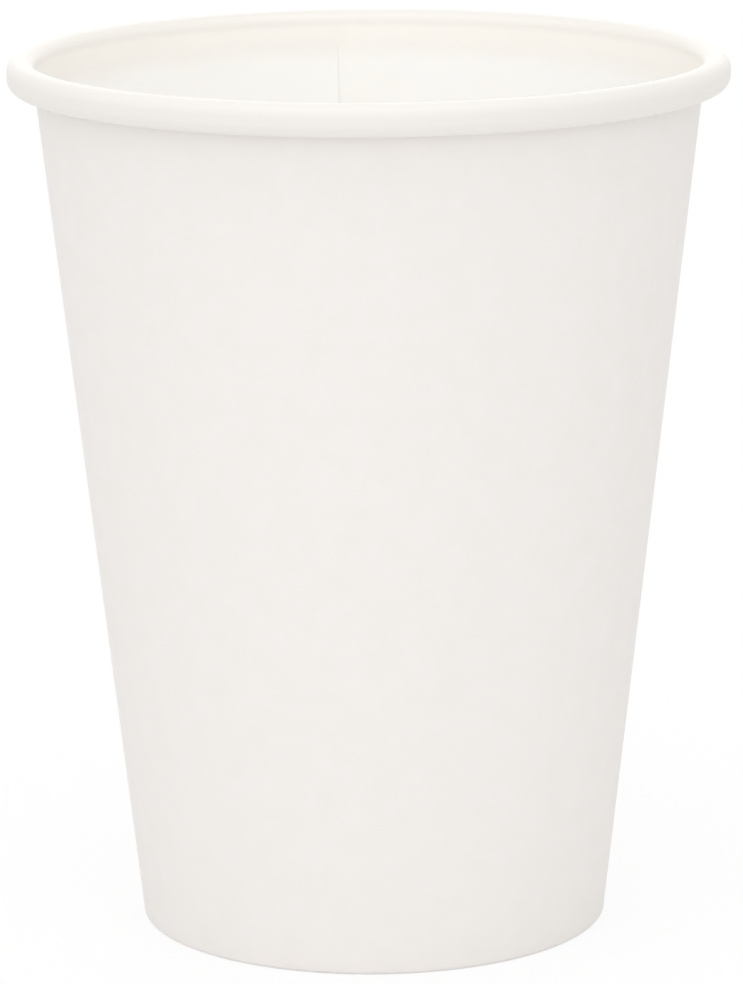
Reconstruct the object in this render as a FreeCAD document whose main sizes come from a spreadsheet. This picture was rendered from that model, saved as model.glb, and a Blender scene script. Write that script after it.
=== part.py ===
"""Paper coffee cup: a rolled paperboard sidewall and a skirted bottom disc, in millimetres.

The cup stands on the table at z = 0 with its axis on Z. Each piece is drawn as half of its
upright section, with x as the distance from the axis, and turned about the axis.
"""
import FreeCAD, Part

import math
import os
from types import SimpleNamespace

import Sketcher
from FreeCAD import Placement, Rotation, Vector

# Driving dimensions: millimetres, and degrees for the angles.
DIMENSIONS = {
    "rim_diameter": 90.0,        # over the rolled lip
    "cup_height": 110.5,         # table to the top of the lip
    "foot_diameter": 59.0,       # outside of the wall, carried down to the table
    "board": 0.35,               # paperboard of the sidewall
    "lip_width": 3.5,            # rolled lip from its inside to its outside
    "lip_depth": 4.0,            # rolled lip from top to underside
    "roll_gap": 0.1,             # between the turned-under lip and the wall
    "roll_tuck": 35.0,           # how far the roll turns on inside itself, past the wall
    "hem_height": 6.5,           # table to the free edge of the turned-in hem
    "fold_outer_radius": 0.6,    # outer corner of the fold that the cup stands on
    "fold_inner_radius": 0.4,    # inner corner of the same fold
    "disc_board": 0.35,          # paperboard of the bottom disc
    "disc_height": 8.0,          # table to the underside of the disc
    "disc_corner_radius": 0.9,   # outside of the bend between disc and skirt
    "skirt_lift": 1.0,           # table to the free edge of the skirt
    "seal_gap": 0.06,            # seal between the skirt and the board on each side of it
    "lap_width": 7.0,            # overlap of the side seam, half way up
    "lap_ramp": 12.0,            # turn in which the outer layer comes down off the inner one
    "lap_press": 1.0,            # lip's underside to the top of the step inside the seam
    "seam_angle": 95.6,          # side seam, round from +X, at the back of the cup
}
d = SimpleNamespace(**DIMENSIONS)

# Depths at the side seam, in boards: how far under the wall's face the outer layer's ramp
# ends, how far its strip is rooted in the wall, and how far in the step's cut reaches.
RAMP_SINK = 0.1
STRIP_ROOT = 0.5
STEP_REACH = 2

# The sketcher's own numbers for the points of an element and for the axes of a sketch.
START, END, CENTRE = 1, 2, 3
TABLE_LINE = -1
AXIS_LINE = -2

doc = FreeCAD.newDocument("paper_cup")


def make_sheet():
    """Writes each driving dimension into a named cell."""
    sheet = doc.addObject("Spreadsheet::Sheet", "Dimensions")
    for row, (name, value) in enumerate(DIMENSIONS.items(), start=1):
        sheet.set(f"A{row}", name)
        sheet.set(f"B{row}", str(value))
        sheet.setAlias(f"B{row}", name)
    doc.recompute()


def cells(formula):
    """An expression from a formula, with each dimension's name led back to its cell."""
    words = formula.split()
    return " ".join(f"Dimensions.{word}" if word in DIMENSIONS else word for word in words)


# Expressions for what several dimensions give together.
ROLL_RADIUS = "lip_width / 2"
ROLL_INSIDE = "lip_width / 2 - board"
ROLL_LEVEL = "cup_height - lip_width / 2"
ROLL_OUT = "rim_diameter / 2 - lip_width / 2"
UNDER_RADIUS = "( lip_width - board - roll_gap ) / 2"
UNDER_INSIDE = "( lip_width - board - roll_gap ) / 2 - board"
UNDER_LEVEL = "cup_height - lip_depth + ( lip_width - board - roll_gap ) / 2"
HEM_DEPTH = "2 * board + disc_board + 2 * seal_gap"
SKIRT_DEPTH = "board + seal_gap"
DISC_TOP = "disc_height + disc_board"
LAP_TURN = "lap_width * 4 / ( foot_diameter + rim_diameter ) * 180 / pi * 1 deg"
TUCK_ANGLE = "180 deg - roll_tuck * 1 deg"


def spot(x, z):
    """A point of a section, x from the axis and z above the table."""
    return Vector(x, z, 0)


# First guesses for the sketches, which solve the same shape from their constraints. The
# wall's outer face runs up from the foot circle and is tangent to the inside of the roll.
roll_radius = d.lip_width / 2
under_radius = (d.lip_width - d.board - d.roll_gap) / 2
roll_centre = spot(d.rim_diameter / 2 - roll_radius, d.cup_height - roll_radius)
under_centre = spot(d.rim_diameter / 2 - under_radius, d.cup_height - d.lip_depth + under_radius)
foot_point = spot(d.foot_diameter / 2, 0)
hem_depth = 2 * d.board + d.disc_board + 2 * d.seal_gap
skirt_depth = d.board + d.seal_gap
to_roll = roll_centre - foot_point
lean = math.atan2(to_roll.x, to_roll.y) - math.asin((roll_radius - d.board) / to_roll.Length)
lean_degrees = math.degrees(lean)


def in_wall(depth, level):
    """The point at a level that lies a depth in from the wall's outer face."""
    return spot(d.foot_diameter / 2 + level * math.tan(lean) - depth / math.cos(lean), level)


class Section:
    """A sketch on a body's upright plane, with its sizes bound to the sheet's cells."""

    def __init__(self, body, name):
        planes = {plane.Role: plane for plane in body.Origin.OriginFeatures}
        self.sketch = body.newObject("Sketcher::SketchObject", name)
        self.sketch.AttachmentSupport = [(planes["XZ_Plane"], "")]
        self.sketch.MapMode = "FlatFace"

    def line(self, start, end, construction=False):
        return self.sketch.addGeometry(Part.LineSegment(start, end), construction)

    def arc(self, centre, radius, start, end):
        """An arc that runs anticlockwise from one angle to another, in degrees."""
        circle = Part.Circle(centre, Vector(0, 0, 1), radius)
        return self.sketch.addGeometry(
            Part.ArcOfCircle(circle, math.radians(start), math.radians(end)), False)

    def hold(self, *constraint):
        return self.sketch.addConstraint(Sketcher.Constraint(*constraint))

    def bind(self, formula, *constraint):
        """Adds a sized constraint, whose first value gives way to the formula's."""
        index = self.hold(*constraint)
        self.sketch.setExpression(f"Constraints[{index}]", cells(formula))

    def join(self, *corners):
        """Joins elements end to end, each corner as (element, point, element, point)."""
        for corner in corners:
            self.hold("Coincident", *corner)

    def blend(self, *corners):
        """Joins elements end to end where one runs smoothly into the next."""
        for corner in corners:
            self.hold("Tangent", *corner)


def add_wall_guide(section):
    """Construction line up the wall's outer face, tangent to the inside of the roll."""
    radius = roll_radius - d.board
    circle = Part.Circle(roll_centre, Vector(0, 0, 1), radius)
    inside = section.sketch.addGeometry(circle, True)
    top = roll_centre - spot(math.cos(lean), -math.sin(lean)) * radius
    guide = section.line(foot_point, top, True)
    section.bind(ROLL_INSIDE, "Radius", inside, radius)
    section.bind(ROLL_OUT, "DistanceX", inside, CENTRE, roll_centre.x)
    section.bind(ROLL_LEVEL, "DistanceY", inside, CENTRE, roll_centre.y)
    section.hold("PointOnObject", guide, START, TABLE_LINE)
    section.bind("foot_diameter / 2", "DistanceX", guide, START, foot_point.x)
    section.hold("Tangent", guide, END, inside)
    return guide


def draw_board_face(section, inset):
    """One face of the sidewall's board, from the hem's free edge to the roll's.

    The inset is 0 on the face that is outside on the wall, and one board on the other. It
    makes the two corners of the fold tighter and the two halves of the roll wider.
    """
    fold_in = d.fold_inner_radius - inset
    fold_out = d.fold_outer_radius - inset
    roll = roll_radius - d.board + inset
    under = under_radius - d.board + inset
    fold_out_centre = in_wall(d.fold_outer_radius, d.fold_outer_radius)
    fold_in_centre = in_wall(hem_depth - d.fold_inner_radius, d.fold_inner_radius)
    side = spot(math.cos(lean), -math.sin(lean))
    hem = section.line(in_wall(hem_depth - inset, d.hem_height), fold_in_centre - side * fold_in)
    inner = section.arc(fold_in_centre, fold_in, 180 - lean_degrees, 270)
    sole = section.line(fold_in_centre - spot(0, fold_in), fold_out_centre - spot(0, fold_out))
    outer = section.arc(fold_out_centre, fold_out, 270, 360 - lean_degrees)
    wall = section.line(fold_out_centre + side * fold_out, roll_centre - side * roll)
    over = section.arc(roll_centre, roll, 0, 180 - lean_degrees)
    brow = section.line(roll_centre + spot(roll, 0), under_centre + spot(under, 0))
    below = section.arc(under_centre, under, 180 - d.roll_tuck, 360)
    section.blend(
        (hem, END, inner, START), (inner, END, sole, START), (sole, END, outer, START),
        (outer, END, wall, START), (wall, END, over, END), (over, START, brow, START),
        (brow, END, below, END))
    return SimpleNamespace(hem=hem, inner=inner, sole=sole, outer=outer, wall=wall, over=over,
                           brow=brow, below=below)


def draw_board(body):
    """The sidewall's board in section: hem, fold, wall and rolled lip as one ribbon."""
    section = Section(body, "board_section")
    face = draw_board_face(section, 0)
    lining = draw_board_face(section, d.board)
    hem_edge = section.line(in_wall(hem_depth, d.hem_height),
                            in_wall(hem_depth - d.board, d.hem_height))
    tuck = math.radians(180 - d.roll_tuck)
    tucked = spot(math.cos(tuck), math.sin(tuck))
    roll_edge = section.line(under_centre + tucked * (under_radius - d.board),
                             under_centre + tucked * under_radius)
    section.join(
        (face.hem, START, hem_edge, START), (lining.hem, START, hem_edge, END),
        (face.below, START, roll_edge, START), (lining.below, START, roll_edge, END),
        (face.inner, CENTRE, lining.inner, CENTRE), (face.outer, CENTRE, lining.outer, CENTRE),
        (face.over, CENTRE, lining.over, CENTRE), (face.below, CENTRE, lining.below, CENTRE))
    section.bind("fold_inner_radius", "Radius", face.inner, d.fold_inner_radius)
    section.bind("fold_inner_radius - board", "Radius", lining.inner,
                 d.fold_inner_radius - d.board)
    section.bind("fold_outer_radius", "Radius", face.outer, d.fold_outer_radius)
    section.bind("fold_outer_radius - board", "Radius", lining.outer,
                 d.fold_outer_radius - d.board)
    section.bind(ROLL_INSIDE, "Radius", face.over, roll_radius - d.board)
    section.bind(ROLL_RADIUS, "Radius", lining.over, roll_radius)
    section.bind(UNDER_INSIDE, "Radius", face.below, under_radius - d.board)
    section.bind(UNDER_RADIUS, "Radius", lining.below, under_radius)

    section.hold("Horizontal", face.sole)
    section.hold("PointOnObject", face.sole, START, TABLE_LINE)
    section.hold("Vertical", lining.brow)
    section.bind("rim_diameter / 2", "DistanceX", lining.brow, START, d.rim_diameter / 2)
    section.bind(ROLL_LEVEL, "DistanceY", face.over, CENTRE, roll_centre.y)
    section.bind(UNDER_LEVEL, "DistanceY", face.below, CENTRE, under_centre.y)

    foot = section.sketch.addGeometry(Part.Point(foot_point), True)
    section.hold("PointOnObject", foot, START, TABLE_LINE)
    section.hold("PointOnObject", foot, START, face.wall)
    section.bind("foot_diameter / 2", "DistanceX", foot, START, foot_point.x)

    section.hold("Parallel", face.hem, face.wall)
    section.hold("Parallel", lining.hem, lining.wall)
    section.bind(HEM_DEPTH, "Distance", face.hem, START, face.wall, hem_depth)
    section.hold("Horizontal", hem_edge)
    section.bind("hem_height", "DistanceY", hem_edge, START, d.hem_height)
    section.hold("PointOnObject", face.below, CENTRE, roll_edge)
    section.bind(TUCK_ANGLE, "Angle", roll_edge, tuck)
    return section


def draw_strip(body, name, share, face, back, low, high):
    """A strip up the wall, in section, at a share of the way round the seam's ramp.

    Face and back are the strip's two sides as depths in from the wall's outer face, in
    boards. Low and high are its two ends' levels, each a formula with a first guess.
    """
    section = Section(body, name)
    turned = Rotation(Vector(0, 1, 0), share * d.lap_ramp)
    section.sketch.AttachmentOffset = Placement(Vector(), turned)
    section.sketch.setExpression("AttachmentOffset.Rotation.Angle",
                                 cells(f"{share} * lap_ramp * 1 deg"))
    guide = add_wall_guide(section)
    corners = [in_wall(face * d.board, low[1]), in_wall(face * d.board, high[1]),
               in_wall(back * d.board, high[1]), in_wall(back * d.board, low[1])]
    outer = section.line(corners[0], corners[1])
    top = section.line(corners[1], corners[2])
    inner = section.line(corners[2], corners[3])
    bottom = section.line(corners[3], corners[0])
    section.join((outer, END, top, START), (top, END, inner, START),
                 (inner, END, bottom, START), (bottom, END, outer, START))
    section.hold("Horizontal", top)
    section.hold("Horizontal", bottom)
    for edge, depth in ((outer, face), (inner, back)):
        section.hold("Parallel", edge, guide)
        if depth:
            section.bind(f"{abs(depth)} * board", "Distance", edge, START, guide,
                         abs(depth) * d.board)
        else:
            section.hold("PointOnObject", edge, START, guide)
    section.bind(low[0], "DistanceY", bottom, START, low[1])
    section.bind(high[0], "DistanceY", top, START, high[1])
    return section


def turn(body, name, section, angle="360 deg", backwards=False):
    """Turns a section about the cup's axis, by the angle that a formula gives."""
    feature = body.newObject("PartDesign::Revolution", name)
    feature.Profile = section.sketch
    feature.ReferenceAxis = (section.sketch, ["V_Axis"])
    feature.Reversed = backwards
    feature.setExpression("Angle", cells(angle))


def loft(body, kind, name, sections):
    """Lofts through sections in a row, adding board or cutting it away."""
    feature = body.newObject(f"PartDesign::{kind}", name)
    feature.Profile = sections[0].sketch
    feature.Sections = [section.sketch for section in sections[1:]]


def add_seam(body):
    """The side seam: the outer layer over the inner one, and the step at the edge of each.

    The inner layer ends at the seam's angle. The outer one lies on it through the lap, and
    past that edge it comes down to the wall's own cone, which leaves a step inside the cup.
    """
    low = ("fold_outer_radius", d.fold_outer_radius)
    high = (ROLL_LEVEL, roll_centre.y)
    step_low = (DISC_TOP, d.disc_height + d.disc_board)
    step_high = ("cup_height - lip_depth - lap_press", d.cup_height - d.lip_depth - d.lap_press)
    ramp = []
    step = []
    for share in (0, 0.5, 1):
        sunk = share * (1 + RAMP_SINK)
        ramp.append(draw_strip(body, "ramp_section", share, sunk - 1, STRIP_ROOT, low, high))
        step.append(
            draw_strip(body, "step_section", share, sunk, STEP_REACH, step_low, step_high))
    loft(body, "AdditiveLoft", "seam_ramp", ramp)
    lap = draw_strip(body, "lap_section", 0, -1, STRIP_ROOT, low, high)
    turn(body, "seam_lap", lap, LAP_TURN, backwards=True)
    loft(body, "SubtractiveLoft", "seam_step", step)


def make_sidewall():
    """The sidewall: the board turned into a cone, then the side seam's overlap."""
    body = doc.addObject("PartDesign::Body", "sidewall")
    turn(body, "rolled_board", draw_board(body))
    add_seam(body)
    body.Placement = Placement(Vector(), Rotation(Vector(0, 0, 1), d.seam_angle))
    body.setExpression("Placement.Rotation.Angle", cells("seam_angle * 1 deg"))
    return body


def draw_disc(body):
    """The bottom disc in section: half of the disc, the bend and the skirt inside the wall."""
    section = Section(body, "disc_section")
    guide = add_wall_guide(section)
    bend = d.disc_corner_radius
    top_level = d.disc_height + d.disc_board
    centre = in_wall(skirt_depth + bend, top_level - bend)
    side = spot(math.cos(lean), -math.sin(lean))
    edge = in_wall(skirt_depth, d.skirt_lift)
    edge_inside = in_wall(skirt_depth + d.disc_board, d.skirt_lift)
    top = section.line(spot(0, top_level), centre + spot(0, bend))
    bend_out = section.arc(centre, bend, -lean_degrees, 90)
    skirt_out = section.line(centre + side * bend, edge)
    skirt_edge = section.line(edge, edge_inside)
    skirt_in = section.line(edge_inside, centre + side * (bend - d.disc_board))
    bend_in = section.arc(centre, bend - d.disc_board, -lean_degrees, 90)
    under = section.line(centre + spot(0, bend - d.disc_board), spot(0, d.disc_height))
    axis = section.line(spot(0, d.disc_height), spot(0, top_level))
    section.blend((top, END, bend_out, END), (bend_out, START, skirt_out, START),
                  (skirt_in, END, bend_in, START), (bend_in, END, under, START))
    section.join((skirt_out, END, skirt_edge, START), (skirt_edge, END, skirt_in, START),
                 (under, END, axis, START), (axis, END, top, START),
                 (bend_out, CENTRE, bend_in, CENTRE))
    section.bind("disc_corner_radius", "Radius", bend_out, bend)
    section.bind("disc_corner_radius - disc_board", "Radius", bend_in, bend - d.disc_board)
    section.hold("Horizontal", top)
    section.hold("Horizontal", under)
    section.hold("Horizontal", skirt_edge)
    section.hold("Parallel", skirt_out, guide)
    section.hold("Parallel", skirt_in, guide)
    section.bind(SKIRT_DEPTH, "Distance", skirt_out, END, guide, skirt_depth)
    section.bind(DISC_TOP, "DistanceY", axis, END, top_level)
    section.bind("skirt_lift", "DistanceY", skirt_edge, START, d.skirt_lift)
    section.hold("PointOnObject", axis, START, AXIS_LINE)
    section.hold("PointOnObject", axis, END, AXIS_LINE)
    return section


def make_bottom_disc():
    """The bottom disc: a flat round with its edge bent down into a skirt."""
    body = doc.addObject("PartDesign::Body", "bottom_disc")
    turn(body, "drawn_disc", draw_disc(body))
    return body


def check_parts(parts):
    """Stops if an object of the document failed or a piece has no sound solid."""
    for item in doc.Objects:
        if "Invalid" in item.State or "Error" in item.State:
            raise RuntimeError(f"{item.Name} failed: {item.State}")
    for part in parts:
        if part.Shape.isNull() or not part.Shape.isValid():
            raise RuntimeError(f"{part.Label} has no valid shape")


def main():
    make_sheet()
    parts = [make_sidewall(), make_bottom_disc()]
    doc.recompute()
    check_parts(parts)
    os.makedirs("parts", exist_ok=True)
    for part in parts:
        part.Shape.exportStep(f"parts/{part.Label}.step")
        print(f"{part.Label}: {part.Shape.Volume:.1f} cubic millimetres")


main()
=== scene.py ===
import math

import bmesh
import bpy
import numpy as np
from mathutils import Euler, Matrix, Vector


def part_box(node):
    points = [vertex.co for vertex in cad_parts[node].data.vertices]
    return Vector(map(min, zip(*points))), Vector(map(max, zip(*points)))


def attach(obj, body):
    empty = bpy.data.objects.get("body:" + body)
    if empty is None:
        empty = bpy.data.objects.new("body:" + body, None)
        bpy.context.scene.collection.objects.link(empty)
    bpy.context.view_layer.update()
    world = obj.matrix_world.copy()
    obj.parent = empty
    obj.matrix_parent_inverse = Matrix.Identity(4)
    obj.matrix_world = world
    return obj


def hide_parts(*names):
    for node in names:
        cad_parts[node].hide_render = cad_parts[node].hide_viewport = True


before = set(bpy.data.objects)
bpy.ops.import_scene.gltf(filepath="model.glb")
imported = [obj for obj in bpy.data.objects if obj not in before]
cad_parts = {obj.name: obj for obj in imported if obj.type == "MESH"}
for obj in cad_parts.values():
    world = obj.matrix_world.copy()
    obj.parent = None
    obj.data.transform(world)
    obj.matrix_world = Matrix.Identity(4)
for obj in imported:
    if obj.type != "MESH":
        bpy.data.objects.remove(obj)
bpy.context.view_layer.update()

MM = 0.001

# Sizes. The lip, the height and the disc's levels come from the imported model. The rest are the
# sizes that the board is cut, rolled and folded to.
wall_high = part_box("sidewall")[1]
disc_low, disc_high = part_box("bottom_disc")
RIM_RADIUS = wall_high[0]
CUP_HEIGHT = wall_high[2]
DISC_TOP = disc_high[2]
SKIRT_LIFT = disc_low[2]
FOOT_RADIUS = 29.5 * MM
BOARD = 0.35 * MM
LIP_WIDTH = 3.5 * MM
LIP_DEPTH = 4.0 * MM
ROLL_GAP = 0.1 * MM
ROLL_TUCK = math.radians(35)
HEM_HEIGHT = 6.5 * MM
FOLD_OUTER_RADIUS = 0.6 * MM
FOLD_INNER_RADIUS = 0.4 * MM
SEAL_GAP = 0.06 * MM
DISC_CORNER_RADIUS = 0.9 * MM
DISC_DISH = 0.12 * MM

# The side seam at the back, from +X round to its inner edge. The outer layer laps over the inner
# one on one side of that edge, and on the other side it slopes down to the wall. The sealing jaws
# squeeze the lap to one and a half boards, and it is flat by the time it reaches the lip. Its
# width is measured at the radius of the middle between foot and lip.
SEAM_ANGLE = math.radians(95.6)
LAP_WIDTH = 7 * MM
LAP_RADIUS = 37.25 * MM
LAP_TURN = LAP_WIDTH / LAP_RADIUS
RAMP_TURN = math.radians(12)
LAP_STEP = BOARD / 2

# The lap's two steps start a little above the foot and the disc, and fade out below the lip's crown
# between these lengths of board. Each step is as wide as two hairs.
FACE_LAP_START = 2.5 * MM
FACE_FADE = (6.5 * MM, 3.5 * MM)
LINING_RISE = 1.5 * MM
LINING_FADE = (7.5 * MM, 3 * MM)
HAIR = 0.012 * MM

# The wall leans from the foot circle to the inner side of the lip's roll, which it touches.
ROLL_RADIUS = LIP_WIDTH / 2
UNDER_RADIUS = (LIP_WIDTH - BOARD - ROLL_GAP) / 2
ROLL_CENTRE = np.array([RIM_RADIUS - ROLL_RADIUS, CUP_HEIGHT - ROLL_RADIUS])
UNDER_CENTRE = np.array([RIM_RADIUS - UNDER_RADIUS, CUP_HEIGHT - LIP_DEPTH + UNDER_RADIUS])
to_roll = ROLL_CENTRE - (FOOT_RADIUS, 0)
LEAN = math.atan2(*to_roll) - math.asin((ROLL_RADIUS - BOARD) / math.hypot(*to_roll))
OUT = np.array([math.cos(LEAN), -math.sin(LEAN)])

# The flat blank is part of a ring about the cone's apex: its radii at the foot and the lip.
BLANK_FOOT = FOOT_RADIUS / math.sin(LEAN)
LIP_START = BLANK_FOOT + ROLL_CENTRE[1] / math.cos(LEAN)

# How far light goes in the board before it turns, with a little less for green and blue. It
# is over three times the board's thickness, so much of it comes out on the far side, and the inside
# of the cup glows. That ends in the top of the wall, where the hollow lip lies behind the board.
SCATTER = 1.2 * MM
SCATTER_SHARES = (1, 0.95, 0.85)
TOP_START = LIP_START - 4 * MM
TOP_END = LIP_START - 1.5 * MM
ROLLED_END = LIP_START + 2 * MM

# The fibres of the board. Softwood fibres are about 0.03 mm wide. They are drawn as bundles ten
# times as wide. ACROSS_TO_ALONG is a bundle's width over its length, which lies along the grain.
FIBRE_WIDTH = 0.3 * MM
ACROSS_TO_ALONG = 0.22
GLOSS_SPREAD = 0.04

# The wall's section is repeated about every degree, and a little closer on the ramp and the lap.
# The disc's is repeated every two degrees.
RAMP_COLUMNS = 15
WALL_COLUMNS = 338
LAP_COLUMNS = 12
COLUMN_TURN = 0.018
LAP_COLUMN_TURN = 0.015
STEP_MARGIN = 0.012
DISC_COLUMNS = 180
MERGE_DISTANCE = 0.0001 * MM

QUARTER = math.pi / 2
FULL_TURN = 2 * math.pi
SHARP_ANGLE = math.radians(38)

# The camera that gives the photograph's view, fitted to the cup's outline.
CAMERA_DISTANCE = 643.9 * MM
CAMERA_HEIGHT = 197.8 * MM
CAMERA_PITCH = math.radians(12.54)
CAMERA_ROLL = math.radians(-0.378)
CAMERA_LENS = 190.44

LAMP_DISTANCE = 1300 * MM
LAMP_SIZE = 1000 * MM


# Materials

def linear(code):
    """The linear colour of an sRGB hex code."""
    srgb = np.array([int(code[at:at + 2], 16) for at in (1, 3, 5)]) / 255
    value = np.where(srgb <= 0.04045, srgb / 12.92, ((srgb + 0.055) / 1.055) ** 2.4)
    return (*value.tolist(), 1)


def add(tree, kind, inputs=(), **settings):
    """Add a node, set its own settings, and set or link each of its named inputs."""
    node = tree.nodes.new("ShaderNode" + kind)
    for name, value in settings.items():
        setattr(node, name, value)
    for name, value in dict(inputs).items():
        if isinstance(value, bpy.types.NodeSocket):
            tree.links.new(value, node.inputs[name])
        else:
            node.inputs[name].default_value = value
    return node


def new_material(name):
    material = bpy.data.materials.new(name)
    material.use_nodes = True
    material.node_tree.nodes.clear()
    return material, material.node_tree


def board_finish(name, light, dark, top, painted_lip_shade, roughness, fibre_depth, cloud_size, see_through, ior):
    """A board surface: cloudy formation in the colour and gloss, and strands of fibre as relief.

    The patterns lie on the flat blank, in metres, with the grain along the blank's centre line.
    see_through is the share of light that scatters in the thin board, some of it right through.
    None comes through at the top of the wall, as the hollow lip lies behind it. There the colour goes over
    to top, and in the lip to the lip's colour. For the lining these are painted light and painted shade:
    top is paler, painted light standing in for the glow of the board below it, and the lip's colour is
    darker, painted shade over the roll.
    """
    material, tree = new_material(name)
    blank = add(tree, "TexCoord").outputs["UV"]
    along_grain = add(tree, "Mapping", {"Vector": blank, "Scale": (ACROSS_TO_ALONG, 1, 1)})
    cloud = add(tree, "TexNoise", {"Vector": blank, "Scale": 1 / cloud_size, "Detail": 3,
                                   "Roughness": 0.6}).outputs["Fac"]
    fibre = add(tree, "TexNoise", {"Vector": along_grain.outputs["Vector"], "Detail": 4,
                                   "Scale": 1 / FIBRE_WIDTH, "Roughness": 0.65,
                                   "Distortion": 0.4}).outputs["Fac"]
    spread = add(tree, "MapRange", {"Value": cloud, "From Min": 0.3, "From Max": 0.7})
    flat_colour = add(tree, "Mix", {"Factor": spread.outputs["Result"], "A": linear(dark),
                                    "B": linear(light)}, data_type="RGBA")
    reach = add(tree, "VectorMath", {0: blank}, operation="LENGTH").outputs["Value"]
    at_top = add(tree, "MapRange", {"Value": reach, "From Min": TOP_START, "From Max": TOP_END})
    painted_lip_share = add(tree, "MapRange", {"Value": reach, "From Min": LIP_START, "From Max": ROLLED_END})
    # Painted light and shade: towards the top of the wall the colour goes over to the painted top colour,
    # and over the lip to the darker painted lip shade.
    painted_top_and_lip = add(tree, "Mix", {"Factor": painted_lip_share.outputs["Result"], "A": linear(top),
                                   "B": linear(painted_lip_shade)}, data_type="RGBA")
    colour = add(tree, "Mix", {"Factor": at_top.outputs["Result"], "A": flat_colour.outputs["Result"],
                               "B": painted_top_and_lip.outputs["Result"]}, data_type="RGBA")
    through = add(tree, "MapRange", {"Value": at_top.outputs["Result"], "To Min": see_through,
                                     "To Max": 0})
    gloss = add(tree, "MapRange", {"Value": fibre, "From Min": 0.3, "From Max": 0.7,
                                   "To Min": roughness + GLOSS_SPREAD, "To Max": roughness - GLOSS_SPREAD})
    relief = add(tree, "Bump", {"Height": fibre, "Distance": fibre_depth, "Strength": 1.0})
    surface = add(tree, "BsdfPrincipled", {
        "Base Color": colour.outputs["Result"], "Roughness": gloss.outputs["Result"],
        "Normal": relief.outputs["Normal"], "IOR": ior, "Subsurface Weight": through.outputs["Result"],
        "Subsurface Scale": SCATTER, "Subsurface Radius": SCATTER_SHARES})
    add(tree, "OutputMaterial", {"Surface": surface.outputs["BSDF"]})
    return material


def bleached_cupstock():
    """Uncoated side of bleached cupstock, calendered smooth: matt, warm white, faintly cloudy."""
    return board_finish("bleached_cupstock", "#EDE9E6", "#EBE7E3", "#ECE8E4", "#ECE8E4",
                        roughness=0.62, fibre_depth=0.006 * MM, cloud_size=4 * MM,
                        see_through=0.0, ior=1.47)


def polyethylene_lining(name, see_through):
    """Cupstock under a 20 micron extruded polyethylene film, which fills its pores: white satin. Its
    colours are whiter than the bare board's: painted light, which brightens the inside.
    """
    # FFFBF4 and #FEF9F1: whiter than the bare board, painted light. #FFFDF9 at the top of the wall: paler
    # still, painted light. #E8E4DF over the lip: darker, painted shade.
    return board_finish(name, "#FFFBF4", "#FEF9F1", "#FFFDF9", "#E8E4DF",
                        roughness=0.42, fibre_depth=0.003 * MM, cloud_size=5 * MM,
                        see_through=see_through, ior=1.51)


def cut_board_edge():
    """Die-cut edge of the board: bare torn fibre, rough and a little yellower than its faces."""
    return board_finish("cut_board_edge", "#F4EFE6", "#ECE6DA", "#F0EBE1", "#EFEAE0",
                        roughness=0.8, fibre_depth=0.02 * MM, cloud_size=1 * MM,
                        see_through=0.0, ior=1.47)


# The order of the material slots of both pieces. Light comes through the wall, but none comes up
# from the dark recess under the disc.
OUTSIDE, LINING, CUT_EDGE, DISC_LINING = range(4)
finishes = [bleached_cupstock(), polyethylene_lining("lined_wall", 1.0), cut_board_edge(),
            polyethylene_lining("lined_disc", 0.0)]


# Shapes

def smooth(values, start, end):
    """0 before start, 1 after end, and 3t^2 - 2t^3 of the way between them."""
    t = np.clip((values - start) / (end - start), 0, 1)
    return t * t * (3 - 2 * t)


def in_wall(depth, level):
    """Section point at a level, and a depth in from the wall's outer face along its normal."""
    return np.array([FOOT_RADIUS + level * math.tan(LEAN) - depth / math.cos(LEAN), level])


def straight(start, end, shares, normal):
    """Points start + share (end - start), all with the same normal."""
    points = start + np.asarray(shares)[:, None] * (np.asarray(end) - start)
    return points, np.tile(normal, (len(points), 1))


def arc(centre, radius, start, end, count, side=1):
    """Points centre + radius (cos a, sin a) for even steps of a, and normals side (cos a, sin a)."""
    angles = np.linspace(start, end, count)
    rays = np.stack([np.cos(angles), np.sin(angles)], axis=1)
    return centre + radius * rays, side * rays


def length_along(points):
    """Distance of each point of a section from its first one, along the section."""
    return np.concatenate([[0], np.cumsum(np.hypot(*np.diff(points, axis=0).T))])


def lathe(name, section, turns, start, finish, blank_radius, fan):
    """Carry a section round the axis: column i is the section at angle start + turns[i].

    section is columns x rows x (radius, level). It closes on itself, or has both ends on the axis,
    where doubled points are merged. The map is the flat blank in metres: a point at blank_radius
    from the blank's centre lies fan (turn - half a turn) round from its centre line.
    """
    columns, rows = section.shape[:2]
    angle = (start + turns)[:, None]
    points = np.stack([section[..., 0] * np.cos(angle), section[..., 0] * np.sin(angle),
                       section[..., 1]], axis=-1).reshape(-1, 3)
    index = np.arange(columns * rows).reshape(columns, rows)
    after = np.roll(index, -1, axis=0)
    quads = np.stack([index[:, :-1], after[:, :-1], after[:, 1:], index[:, 1:]], axis=-1)
    quads = quads.reshape(-1, 4)
    mesh = bpy.data.meshes.new(name)
    mesh.from_pydata(points, [], quads)
    mesh.polygons.foreach_set("material_index", finish.astype(np.int32).ravel())
    mesh.polygons.foreach_set("use_smooth", np.ones(len(quads), dtype=bool))
    on_blank = fan * (turns - math.pi)[:, None]
    flat = np.stack([blank_radius * np.cos(on_blank), blank_radius * np.sin(on_blank)], axis=-1)
    blank = mesh.uv_layers.new(name="blank")
    blank.uv.foreach_set("vector", flat.reshape(-1, 2)[quads.ravel()].astype(np.float32).ravel())

    whole = bmesh.new()
    whole.from_mesh(mesh)
    bmesh.ops.remove_doubles(whole, verts=whole.verts, dist=MERGE_DISTANCE)
    whole.to_mesh(mesh)
    whole.free()
    mesh.set_sharp_from_angle(angle=SHARP_ANGLE)
    piece = bpy.data.objects.new(name, mesh)
    bpy.context.scene.collection.objects.link(piece)
    for material in finishes:
        mesh.materials.append(material)
    return piece


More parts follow.
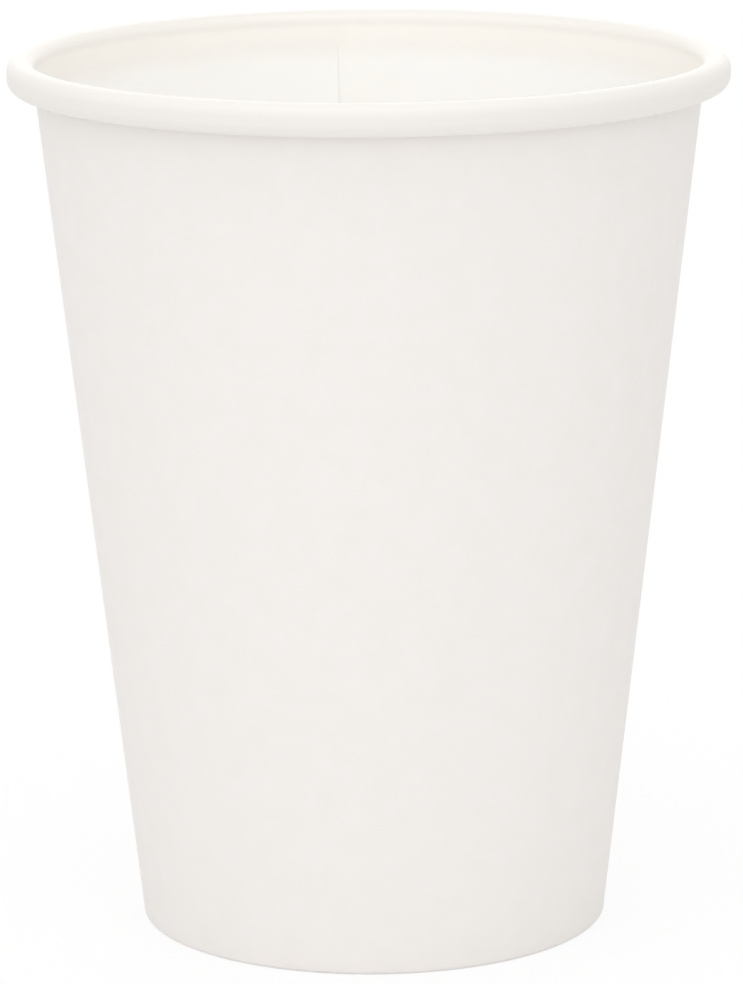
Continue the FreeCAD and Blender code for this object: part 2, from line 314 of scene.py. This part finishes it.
def sheet_face():
    """The sidewall's outer face in section, from the hem's free edge to the one inside the lip.

    Down the hem, round the fold's inner corner, across the sole, round its outer corner, up the
    wall, over the inside of the lip's roll, down, and round under it.
    """
    hem_depth = 3 * BOARD + 2 * SEAL_GAP
    inner = in_wall(hem_depth - FOLD_INNER_RADIUS, FOLD_INNER_RADIUS)
    outer = in_wall(FOLD_OUTER_RADIUS, FOLD_OUTER_RADIUS)
    roll = ROLL_RADIUS - BOARD
    shares = np.concatenate([np.linspace(0.005, 0.1, 10), np.linspace(0.15, 0.9, 12),
                             np.linspace(0.93, 0.995, 8)])
    parts = [
        straight(in_wall(hem_depth, HEM_HEIGHT), inner - OUT * FOLD_INNER_RADIUS,
                 np.linspace(0, 0.97, 5), -OUT),
        arc(inner, FOLD_INNER_RADIUS, math.pi - LEAN, 3 * QUARTER, 7),
        straight(inner - (0, FOLD_INNER_RADIUS), outer - (0, FOLD_OUTER_RADIUS), [0.5], (0, -1)),
        arc(outer, FOLD_OUTER_RADIUS, -QUARTER, -LEAN, 9),
        straight(outer + OUT * FOLD_OUTER_RADIUS, ROLL_CENTRE - OUT * roll, shares, OUT),
        arc(ROLL_CENTRE, roll, math.pi - LEAN, 0, 25, -1),
        arc(UNDER_CENTRE, UNDER_RADIUS - BOARD, 0, -math.pi - ROLL_TUCK, 29, -1),
    ]
    points, normals = (np.concatenate(column) for column in zip(*parts))
    return points, normals


def make_sidewall():
    """The sidewall: both faces of the board in section, carried round the axis as one closed loop.

    A section point with normal n goes to P + n w(along) h(turn). Outside, h is LAP_STEP over the
    lap and falls to 0 down the ramp. Inside, h is LAP_STEP just past the inner layer's edge and
    falls to 0 down the same ramp. The weight w ends the overlap at the fold and at the lip.
    """
    face, normals = sheet_face()
    lining = face - normals * BOARD
    level = face[:, 1]
    along = length_along(face)
    sole = along[np.argmin(level)]
    crown = along[np.argmax(level)]
    face_weight = smooth(level, FOLD_OUTER_RADIUS, FACE_LAP_START) * (along > sole)
    face_weight *= 1 - smooth(along, crown - FACE_FADE[0], crown - FACE_FADE[1])
    lining_weight = smooth(level, DISC_TOP, DISC_TOP + LINING_RISE)
    lining_weight *= 1 - smooth(along, crown - LINING_FADE[0], crown - LINING_FADE[1])

    hair = HAIR / RIM_RADIUS
    lap_start = FULL_TURN - LAP_TURN
    turns = np.concatenate([np.linspace(hair, RAMP_TURN, RAMP_COLUMNS),
                            np.linspace(RAMP_TURN + COLUMN_TURN, lap_start - STEP_MARGIN, WALL_COLUMNS),
                            [lap_start - hair, lap_start + hair],
                            np.linspace(lap_start + LAP_COLUMN_TURN, FULL_TURN - hair, LAP_COLUMNS)])
    ramp = 1 - smooth(turns, 0, RAMP_TURN)
    face_rise = LAP_STEP * np.maximum(ramp, turns > lap_start)
    front = face + normals * (face_rise[:, None] * face_weight)[..., None]
    back = lining + normals * (LAP_STEP * ramp[:, None] * lining_weight)[..., None]
    loop = np.concatenate([front, back[:, ::-1], front[:, :1]], axis=1)

    half = len(face)
    finish = np.full((len(turns), 2 * half), LINING)
    finish[:, :half] = OUTSIDE
    finish[:, [half - 1, 2 * half - 1]] = CUT_EDGE
    finish[-1, half:] = CUT_EDGE
    finish[np.searchsorted(turns, lap_start) - 1, :half] = CUT_EDGE
    from_apex = BLANK_FOOT + along - sole
    blank_radius = np.concatenate([from_apex, from_apex[::-1], from_apex[:1]])
    return lathe("cup_sidewall", loop, turns, SEAM_ANGLE, finish, blank_radius, math.sin(LEAN))


def disc_face(depth, radius):
    """One face of the bottom in section, from its middle to the skirt's edge, a depth below the top.

    The disc is dished by DISC_DISH (1 + cos(pi share of its radius)) / 2.
    """
    corner = in_wall(BOARD + SEAL_GAP + DISC_CORNER_RADIUS, DISC_TOP - DISC_CORNER_RADIUS)
    shares = np.linspace(0, 1, 24)
    flat = straight((0, DISC_TOP - depth), (corner[0], DISC_TOP - depth), shares, (0, 1))[0]
    flat[:, 1] -= DISC_DISH * (1 + np.cos(math.pi * shares)) / 2
    skirt_depth = BOARD + SEAL_GAP + depth
    skirt = straight(corner + OUT * radius, in_wall(skirt_depth, SKIRT_LIFT),
                     np.linspace(0.05, 1, 8), OUT)[0]
    return np.concatenate([flat[:-1], arc(corner, radius, QUARTER, -LEAN, 9)[0], skirt])


def make_bottom():
    """The bottom: a round blank pressed to a flat disc with its edge turned down as a skirt.

    The section runs under the disc from its middle to the skirt's edge, and back over the top.
    """
    under = disc_face(BOARD, DISC_CORNER_RADIUS - BOARD)
    over = disc_face(0, DISC_CORNER_RADIUS)
    section = np.concatenate([under, over[::-1]])
    turns = np.arange(DISC_COLUMNS) * FULL_TURN / DISC_COLUMNS
    row_finish = np.full(len(section) - 1, DISC_LINING)
    row_finish[:len(under)] = OUTSIDE
    row_finish[len(under) - 1] = CUT_EDGE
    finish = np.tile(row_finish, (len(turns), 1))
    reach = length_along(under)
    blank_radius = np.concatenate([reach, length_along(over)[::-1]])
    section = np.tile(section, (len(turns), 1, 1))
    return lathe("cup_bottom", section, turns, 0, finish, blank_radius, 1)


sidewall = make_sidewall()
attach(sidewall, "root")
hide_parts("sidewall")

bottom = make_bottom()
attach(bottom, "root")
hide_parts("bottom_disc")


# Studio

def seen_directly(tree):
    """1 for what the camera sees, straight or by a reflection or through glass, and 0 for light."""
    path = add(tree, "LightPath").outputs
    mirror = add(tree, "Math", {0: path["Is Glossy Ray"], 1: path["Is Transmission Ray"]},
                 operation="MAXIMUM")
    return add(tree, "Math", {0: path["Is Camera Ray"], 1: mirror.outputs[0]},
               operation="MAXIMUM").outputs[0]


def light_world(strength):
    """A plain pale room: soft light of one strength from all round, white where it is seen."""
    world = bpy.data.worlds.new("studio")
    bpy.context.scene.world = world
    world.use_nodes = True
    tree = world.node_tree
    tree.nodes.clear()
    shown = add(tree, "MapRange", {"Value": seen_directly(tree), "To Min": strength, "To Max": 1})
    room = add(tree, "Background", {"Color": linear("#FFFFFF"), "Strength": shown.outputs["Result"]})
    add(tree, "OutputWorld", {"Surface": room.outputs["Background"]})


def make_floor(reach, shadow):
    """A white sweep under the cup. Seen directly, only a share of its shading shows: its shadow."""
    material, tree = new_material("white_sweep")
    board = add(tree, "BsdfDiffuse", {"Color": linear("#F4F4F4")})
    white = add(tree, "Emission", {"Color": linear("#FFFFFF"), "Strength": 1})
    share = add(tree, "MapRange", {"Value": seen_directly(tree), "To Min": 0, "To Max": 1 - shadow})
    surface = add(tree, "MixShader", {0: share.outputs["Result"], 1: board.outputs[0],
                                      2: white.outputs[0]})
    add(tree, "OutputMaterial", {"Surface": surface.outputs[0]})
    mesh = bpy.data.meshes.new("floor")
    corners = [(-reach, -reach, 0), (reach, -reach, 0), (reach, reach, 0), (-reach, reach, 0)]
    mesh.from_pydata(corners, [], [(0, 1, 2, 3)])
    mesh.materials.append(material)
    floor = bpy.data.objects.new("floor", mesh)
    bpy.context.scene.collection.objects.link(floor)


def softbox(name, to_right, upward, watts):
    """A square area lamp turned to the cup's middle, from so many degrees right of the front and up."""
    lamp = bpy.data.lights.new(name, "AREA")
    lamp.shape = "SQUARE"
    lamp.size = LAMP_SIZE
    lamp.energy = watts
    stand = bpy.data.objects.new(name, lamp)
    bpy.context.scene.collection.objects.link(stand)
    turn = Euler((QUARTER - math.radians(upward), 0, math.radians(to_right)))
    stand.rotation_euler = turn
    stand.location = turn.to_matrix() @ Vector((0, 0, LAMP_DISTANCE)) + Vector((0, 0, CUP_HEIGHT / 2))


def make_camera():
    """The photograph's view: in front of the cup, looking down by the pitch, a hair rolled."""
    camera = bpy.data.cameras.new("camera")
    camera.lens = CAMERA_LENS
    camera.sensor_width = 36
    tripod = bpy.data.objects.new("camera", camera)
    bpy.context.scene.collection.objects.link(tripod)
    tripod.location = (0, -CAMERA_DISTANCE, CAMERA_HEIGHT)
    turn = Matrix.Rotation(QUARTER - CAMERA_PITCH, 3, "X") @ Matrix.Rotation(CAMERA_ROLL, 3, "Z")
    tripod.rotation_euler = turn.to_euler()
    bpy.context.scene.camera = tripod


light_world(0.86)
make_floor(reach=3, shadow=0.15)
softbox("front", 0, 20, 2.0)
softbox("left", -60, 45, 1.0)
softbox("top", 0, 80, 3.6)
softbox("back", 180, 20, 1.8)
make_camera()
bpy.context.scene.view_settings.view_transform = "Standard"
